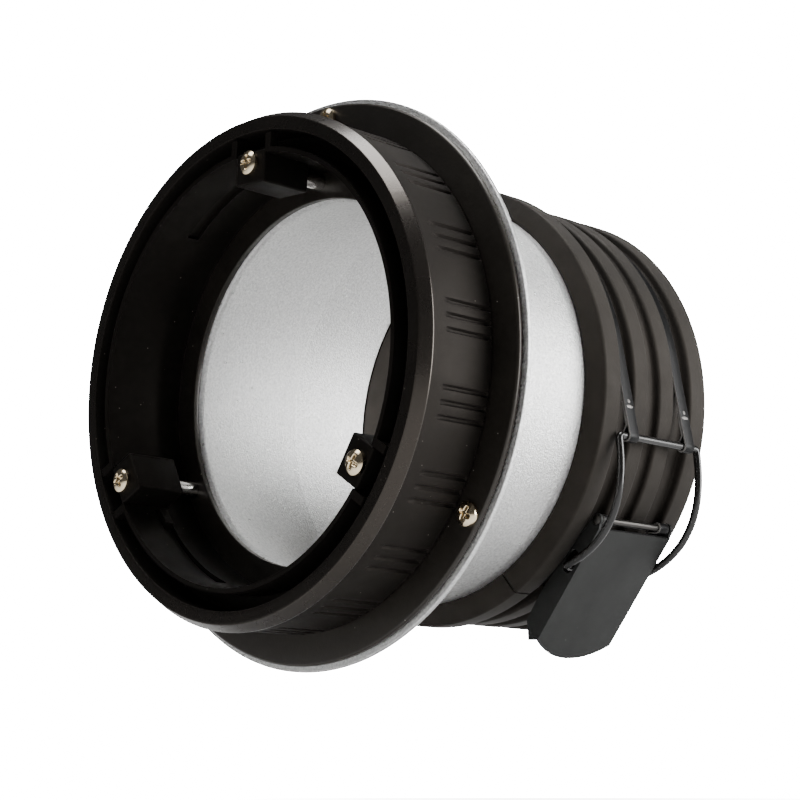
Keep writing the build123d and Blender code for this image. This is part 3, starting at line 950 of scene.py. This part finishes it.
class ADAPTER_OT_collar(Operator):
    """Rubber collar: a ribbed outline with soft edges, turned from one side of the split round to the
    other, with a flat end at each side"""

    bl_idname = "adapter.collar"
    bl_label = "Rubber Collar"

    def execute(self, context):
        sizes, finish = context.scene.adapter_sizes, context.scene.adapter_finish
        y, crest, root = RING_FACE_Y, sizes.rib_round, 0.7
        front_rib_r, rib_r, groove_r, band_groove_r = 57.1, 55.7, 53.4, 53.9
        rear, bore_r = 0.0, 50.1
        outline = rounded([
            (TUBE_R, y + 64.6, 0.1), (52.3, y + 64.6, 0.25), (front_rib_r, y + 66.3, 0.9),
            (front_rib_r, y + 72.3, crest), (groove_r, y + 72.3, root), (groove_r, y + 78.6, root),
            (rib_r, y + 78.6, crest), (rib_r, y + 84.5, crest), (band_groove_r, y + 84.5, root),
            (band_groove_r, y + 88.4, root), (rib_r, y + 88.4, crest), (rib_r, y + 94.4, crest),
            (groove_r, y + 94.4, root), (groove_r, y + 100.6, root), (rib_r, y + 100.6, crest),
            (rib_r, rear, 1.3), (bore_r, rear, 0.4), (bore_r, TUBE_END_Y, 0.15),
            (TUBE_R, TUBE_END_Y, 0.15),
        ], steps=7)
        split_angle, split_gap, middle_r = -62, 0.5, 54
        half_gap = math.degrees(split_gap / 2 / middle_r)
        angles = np.radians(
            np.linspace(split_angle + half_gap, split_angle + 360 - half_gap, 289))
        collar = make_piece("clamp_collar", [shell(revolved(outline, angles), capped=True)])
        rubber = kept(rubber_material, "warm_rubber", colour=finish.rubber_colour)
        finish_with(collar, rubber, "base")
        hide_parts("rubber_collar")
        return {"FINISHED"}


def strap_end(centre, band_r, loop_r, loop_side, turn, tail):
    """One end of a strap's line, from its folded tail round the loop to where it joins the band, and
    the band's angle there. The straight length is a tangent of both circles: loop_side is 1 where the
    loop's centre is on the band's side of it and -1 where it is beyond, and turn is the sign of the
    step in angle from the centre to the band's end. In the loop's own frame the straight length runs
    at height loop_r. The tail's line is just over a strap's thickness lower, and meets the loop on
    the tangent from the tail's inner point."""
    reach = np.hypot(*centre)
    leave = math.atan2(centre[1], centre[0]) + turn * math.acos((band_r - loop_side * loop_r) / reach)
    out = np.array([math.cos(leave), math.sin(leave)])
    band_end = out * band_r
    loop_end = centre + out * (loop_side * loop_r)
    along = (band_end - loop_end) / np.linalg.norm(band_end - loop_end)
    up = out * loop_side
    tail_start, tail_gap = 2.6, 0.03
    inner = np.array([tail_start, loop_r - STRAP_SHEET - tail_gap])
    tangent = math.atan2(inner[1], inner[0]) - math.acos(loop_r / np.hypot(*inner))
    round_loop = arc(loop_r, tangent, math.pi / 2 - 2 * math.pi, 40)
    local = np.vstack([inner + [tail, 0], inner, round_loop,
                       [np.linalg.norm(band_end - loop_end), loop_r]])
    line = softened(evened(local, spacing=0.18), passes=5)
    return centre + line[:, :1] * along + line[:, 1:] * up, leave


class ADAPTER_OT_straps(Operator):
    """Clamp straps: one flat strip each, from the lever pin's loop round the collar to the bail's
    loop, with a rounded section carried along that line. A painted highlight shows on its edges,
    and plain metal on two weld spots, each a dome h (1 - q^2) over an oval"""

    bl_idname = "adapter.straps"
    bl_label = "Clamp Straps"

    def execute(self, context):
        band_r, half_sheet, half_width, running_gap = 53.85, STRAP_SHEET / 2, 1.7, 0.05
        pin_loop_r = half_sheet + PIN_R + running_gap
        bar_loop_r = half_sheet + WIRE_R + running_gap
        lower, lower_angle = strap_end(HINGE, band_r, pin_loop_r, loop_side=-1, turn=-1, tail=4.0)
        upper, upper_angle = strap_end(BAR, band_r, bar_loop_r, loop_side=1, turn=1, tail=6.0)
        band = arc(band_r, lower_angle, upper_angle - 2 * math.pi, 240)[1:-1]
        flat = np.vstack([lower, band, upper[::-1]])
        path = np.stack([flat[:, 0], 0 * flat[:, 0], flat[:, 1]], -1)
        side = np.tile([0.0, 1.0, 0.0], (len(path), 1))
        outline = rounded([(half_width, half_sheet, 0.12), (-half_width, half_sheet, 0.12),
                           (-half_width, -half_sheet, 0.12), (half_width, -half_sheet, 0.12)], steps=4)
        strip = shell(carried(outline, path, side, np.cross(side, tangents(path))), capped=True)
        # Painted highlight: the strip's outer tenth of a millimetre on each side gets the lighter
        # colour.
        edge = np.clip((np.abs(outline[:, 0]) - half_width + 0.1) / 0.08, 0, 1)

        out = np.array([math.cos(upper_angle), 0, math.sin(upper_angle)])
        loop_end = np.array([BAR[0], 0, BAR[1]]) + bar_loop_r * out
        along = out * band_r - loop_end
        along /= np.linalg.norm(along)
        q, t = np.linspace(1, 0.05, 8)[:, None, None], full_turn(24)[None, :, None]
        weld_height, sunk = 0.16, 0.01
        welds = []
        for distance, half_length, half_across in ((8.6, 0.5, 0.5), (7.2, 0.45, 1.2)):
            middle = loop_end + distance * along + (half_sheet - sunk) * out
            oval = half_length * np.cos(t) * along + half_across * np.sin(t) * [0, 1, 0]
            welds.append(shell(middle + q * oval + weld_height * (1 - q ** 2) * out, capped=True))

        # The lighter colour stands for a painted highlight on the strip's edges and for the welds'
        # plain metal.
        steel = kept(
            strap_material, "blackened_strip", colour=(0.006, 0.006, 0.0062), bare=(0.22, 0.21, 0.20))
        for place_name, offset in (("front", -10.75), ("rear", 10.75)):
            parts = [(points + [0, LATCH_Y + offset, 0], faces)
                     for points, faces in (strip, *welds)]
            strap = make_piece("clamp_strap_" + place_name, parts, smooth_angle=40)
            # Weld spots take the lighter colour all over as plain metal; the strip takes it only at
            # its edges, as a painted highlight.
            share = np.ones(len(strap.data.vertices), np.float32)
            share[:len(path) * len(outline)] = np.tile(edge, len(path))
            bare = strap.data.attributes.new("bare", "FLOAT", "POINT")
            bare.data.foreach_set("value", share)
            strap.data.materials.append(steel)
            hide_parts("strap_%s_fixed" % place_name, "strap_%s_free" % place_name)
            middle = np.array([0.048, LATCH_Y * MM, -0.0245])
            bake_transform(strap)
        return {"FINISHED"}


class ADAPTER_OT_bail(Operator):
    """Bail: one round wire whose line runs from a hooked end along a bowed arm, across the bar and
    back, with its corners eased. The arm is (1 - q)^2 bar + 2 q (1 - q) bow + q^2 hook for q from 0
    to 1, with the bow placed so that the arm's middle is on a point of its own"""

    bl_idname = "adapter.bail"
    bl_label = "Bail Wire"

    def execute(self, context):
        sizes = context.scene.adapter_sizes
        arm_offset, hook_end = 15.0, 12.2
        q = np.linspace(0, 1, 60)[:, None]
        bow = 2 * latch_point(63.2, -6.8) - (BAR + HOOK) / 2
        arm = (1 - q) ** 2 * BAR + 2 * q * (1 - q) * bow + q ** 2 * HOOK
        right = np.stack([arm[:, 0], np.full(len(arm), arm_offset), arm[:, 1]], -1)
        half = np.vstack([right, [HOOK[0], hook_end, HOOK[1]]])
        path = np.vstack([half[::-1] * [1, -1, 1], half])
        path = softened(evened(path, spacing=0.3), passes=14) + [0, LATCH_Y, 0]
        fixed = np.array([FACE_OUT[0], 0, FACE_OUT[1]])
        bail = make_piece("bail_loop", [wire(path, sizes.wire_radius, fixed)], smooth_angle=60)
        paint = kept(
            coated_material, "glossy_black_wire", colour=(0.008, 0.0075, 0.007),
            dust_colour=(0.3, 0.28, 0.26), roughness=0.24, grain_size=0.0006, grain_height=0.00001,
            dust=0.2, coat=0.4, specular=0.3, shine_tint=(1.0, 1.0, 1.0))
        finish_with(bail, paint, "bail")
        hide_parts("bail_wire")
        return {"FINISHED"}


class ADAPTER_OT_lever(Operator):
    """Latch lever and pin: the folded channel with eased edges, and a turned pin whose rivet heads
    are quarter ovals, r = R cos t and y = h sin t beyond the lever's side"""

    bl_idname = "adapter.lever"
    bl_label = "Latch Lever"

    def execute(self, context):
        finish = context.scene.adapter_finish
        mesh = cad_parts["latch_lever"].data.copy()
        lever = bpy.data.objects.new("lever_channel", mesh)
        bpy.context.scene.collection.objects.link(lever)
        merge = lever.modifiers.new("Merged corners", "WELD")
        merge.merge_threshold = 0.00001
        flat = lever.modifiers.new("Flat faces joined", "DECIMATE")
        flat.decimate_type = "DISSOLVE"
        flat.angle_limit = math.radians(4)
        eased = lever.modifiers.new("Eased edges", "BEVEL")
        eased.width = 0.0002
        eased.segments = 3
        eased.limit_method = "ANGLE"
        eased.angle_limit = math.radians(40)
        eased.harden_normals = True
        paint = kept(
            coated_material, "matte_lever_paint", colour=finish.lever_colour,
            dust_colour=(0.3, 0.3, 0.3), roughness=0.55, grain_size=0.0004, grain_height=0.00002,
            dust=0.25, coat=0.0, specular=0.22, shine_tint=(1.0, 1.0, 1.0))
        finish_with(lever, paint, "lever")
        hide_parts("latch_lever")

        lever_width, head_r, head_height = 27.4, 1.3, 0.48
        half = lever_width / 2
        dome = np.linspace(0, np.pi / 2, 8)
        head = np.stack([head_r * np.cos(dome), half + 0.02 + head_height * np.sin(dome)], -1)
        head[-1, 0] = 0.02
        side = np.vstack([[PIN_R, half - 0.3], [PIN_R, half], [head_r, half + 0.01], head])
        outline = np.vstack([side[::-1] * [1, -1], side])
        t = full_turn(40)
        rows = np.stack([outline[:, :1] * np.cos(t), outline[:, 1:] + 0 * t,
                         outline[:, :1] * np.sin(t)], -1) + [HINGE[0], LATCH_Y, HINGE[1]]
        pin = make_piece("rivet_pin", [shell(rows, capped=True)])
        steel = kept(
            metal_material, "darkened_pin", colour=(0.06, 0.057, 0.054), roughness=0.34,
            pebble_size=0.001, pebble_height=0.00001, spread=0.1)
        finish_with(pin, steel, "lever")
        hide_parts("lever_pin")
        return {"FINISHED"}


def surroundings():
    """A world that gives a faint even light, and that the camera itself sees as white."""
    world = bpy.data.worlds.new("Even surroundings")
    world.use_nodes = True
    nodes, links = world.node_tree.nodes, world.node_tree.links
    nodes.clear()
    output = nodes.new("ShaderNodeOutputWorld")
    output.label = "Surroundings"
    output.location = (300, 0)
    ray = nodes.new("ShaderNodeLightPath")
    ray.label = "Seen directly or as light"
    ray.location = (-300, 200)
    glow = nodes.new("ShaderNodeBackground")
    glow.label = "Light from around"
    glow.location = (-300, -100)
    glow.inputs["Color"].default_value = (1, 1, 1, 1)
    glow.inputs["Strength"].default_value = 0.07
    paper = nodes.new("ShaderNodeBackground")
    paper.label = "White paper behind"
    paper.location = (-300, -300)
    paper.inputs["Color"].default_value = (1, 1, 1, 1)
    paper.inputs["Strength"].default_value = 30.0
    choice = nodes.new("ShaderNodeMixShader")
    choice.label = "Paper behind, light around"
    choice.location = (0, 0)
    links.new(ray.outputs["Is Camera Ray"], choice.inputs["Fac"])
    links.new(glow.outputs["Background"], choice.inputs[1])
    links.new(paper.outputs["Background"], choice.inputs[2])
    links.new(choice.outputs["Shader"], output.inputs["Surface"])
    return world


class ADAPTER_OT_stage(Operator):
    """Pale floor, even surroundings, soft lamps and the camera"""

    bl_idname = "adapter.stage"
    bl_label = "Stage"

    def execute(self, context):
        scene = context.scene
        half, height = 3.0, -0.1
        mesh = bpy.data.meshes.new("floor")
        mesh.from_pydata([(-half, -half, height), (half, -half, height), (half, half, height),
                          (-half, half, height)], [], [(0, 1, 2, 3)])
        floor = bpy.data.objects.new("floor", mesh)
        scene.collection.objects.link(floor)
        mesh.materials.append(floor_material("pale_paper", (0.9, 0.9, 0.9)))
        scene.world = surroundings()

        part_middle = Vector((0, -0.05, 0))
        lamps = (
            ("top_softbox", Vector((0.10, -0.05, 0.85)), 0.5, 11.0),
            ("rear_right_softbox", Vector((0.88, 0.50, 0.12)), 0.72, 24.0),
            ("front_top_fill", Vector((-0.25, -0.65, 0.90)), 0.5, 3.0),
        )
        for lamp_name, location, side, power in lamps:
            light = bpy.data.lights.new(lamp_name, "AREA")
            light.shape = "SQUARE"
            light.size = side
            light.energy = power
            lamp = bpy.data.objects.new(lamp_name, light)
            scene.collection.objects.link(lamp)
            lamp.location = location
            aim = part_middle - location
            lamp.rotation_euler = aim.to_track_quat("-Z", "Y").to_euler()

        lens = bpy.data.cameras.new("camera")
        lens.lens = 88.0
        lens.sensor_width = 36.0
        lens.clip_start = 0.01
        camera = bpy.data.objects.new("camera", lens)
        scene.collection.objects.link(camera)
        camera.location = (0.3503, -0.3936, -0.0977)
        azimuth, elevation = math.radians(45.91), math.radians(-11.28)
        back = Vector((math.sin(azimuth) * math.cos(elevation),
                       -math.cos(azimuth) * math.cos(elevation), math.sin(elevation)))
        camera.rotation_euler = (-back).to_track_quat("-Z", "Y").to_euler()
        scene.camera = camera
        return {"FINISHED"}


PIECE_OPERATORS = (
    ADAPTER_OT_lock_ring,
    ADAPTER_OT_sleeve,
    ADAPTER_OT_lugs,
    ADAPTER_OT_flange,
    ADAPTER_OT_spun_tube,
    ADAPTER_OT_collar,
    ADAPTER_OT_straps,
    ADAPTER_OT_bail,
    ADAPTER_OT_lever,
    ADAPTER_OT_stage,
)


class ADAPTER_PT_sidebar(Panel):
    """The adapter's sizes, finishes and pieces"""

    bl_idname = "ADAPTER_PT_sidebar"
    bl_label = "Flash Mount Adapter"
    bl_space_type = "VIEW_3D"
    bl_region_type = "UI"
    bl_category = "Adapter"

    def draw(self, context):
        for group in (context.scene.adapter_sizes, context.scene.adapter_finish):
            box = self.layout.box()
            for setting in group.bl_rna.properties.keys():
                if setting not in ("rna_type", "name"):
                    box.prop(group, setting)
        for operator in PIECE_OPERATORS:
            self.layout.operator(operator.bl_idname)


CLASSES = (AdapterSizes, AdapterFinish, *PIECE_OPERATORS, ADAPTER_PT_sidebar)


def register():
    """Adds the panel, the operators and the scene's settings."""
    for cls in CLASSES:
        bpy.utils.register_class(cls)
    bpy.types.Scene.adapter_sizes = PointerProperty(type=AdapterSizes)
    bpy.types.Scene.adapter_finish = PointerProperty(type=AdapterFinish)


def unregister():
    """Takes away what register adds, in the opposite order."""
    del bpy.types.Scene.adapter_finish
    del bpy.types.Scene.adapter_sizes
    for cls in reversed(CLASSES):
        bpy.utils.unregister_class(cls)


def main():
    """Builds the stage and every piece."""
    register()
    bpy.ops.adapter.stage()
    bpy.ops.adapter.lock_ring()
    bpy.ops.adapter.sleeve()
    bpy.ops.adapter.lugs()
    bpy.ops.adapter.flange()
    bpy.ops.adapter.spun_tube()
    bpy.ops.adapter.collar()
    bpy.ops.adapter.straps()
    bpy.ops.adapter.bail()
    bpy.ops.adapter.lever()


if __name__ == "__main__":
    main()
